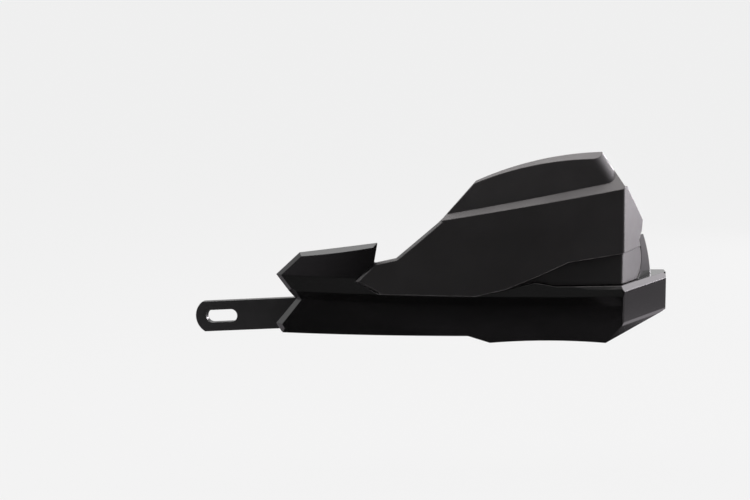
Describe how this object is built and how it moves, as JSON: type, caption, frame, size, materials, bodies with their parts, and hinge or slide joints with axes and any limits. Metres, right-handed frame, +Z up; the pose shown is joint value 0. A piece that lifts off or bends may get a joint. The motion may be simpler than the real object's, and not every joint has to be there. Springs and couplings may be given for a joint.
{
  "type": "motorcycle hand guard",
  "caption": "Faceted handlebar hand guard: moulded frame beam with a bar-end eye, a screwed-on wind deflector and a slotted flat strap that bolts to the handlebar.",
  "frame": {"origin": "on the axis of the bar-end bore, at the outer face of the eye", "axes": "+X outboard along the handlebar, +Y back towards the rider, +Z up, as worn on the left end of the bar"},
  "size_m": [0.327, 0.0855, 0.1294],
  "materials": {
    "beam_plastic": "satin, moulded",
    "deflector_plastic": "fine grained, moulded",
    "strap_metal": "satin coated",
    "zinc_steel": "zinc plated",
    "insert_brass": "turned",
    "screw_black": "black oxide steel"
  },
  "bodies": {
    "root": {"frame_beam": "beam_plastic", "wind_deflector": "deflector_plastic", "mounting_strap": "strap_metal", "bar_end_bush": "zinc_steel", "strap_inserts": "insert_brass", "strap_washers": "zinc_steel", "strap_screws": "screw_black", "deflector_inserts": "insert_brass", "deflector_washers": "zinc_steel", "deflector_screws": "screw_black"}
  },
  "joints": []
}
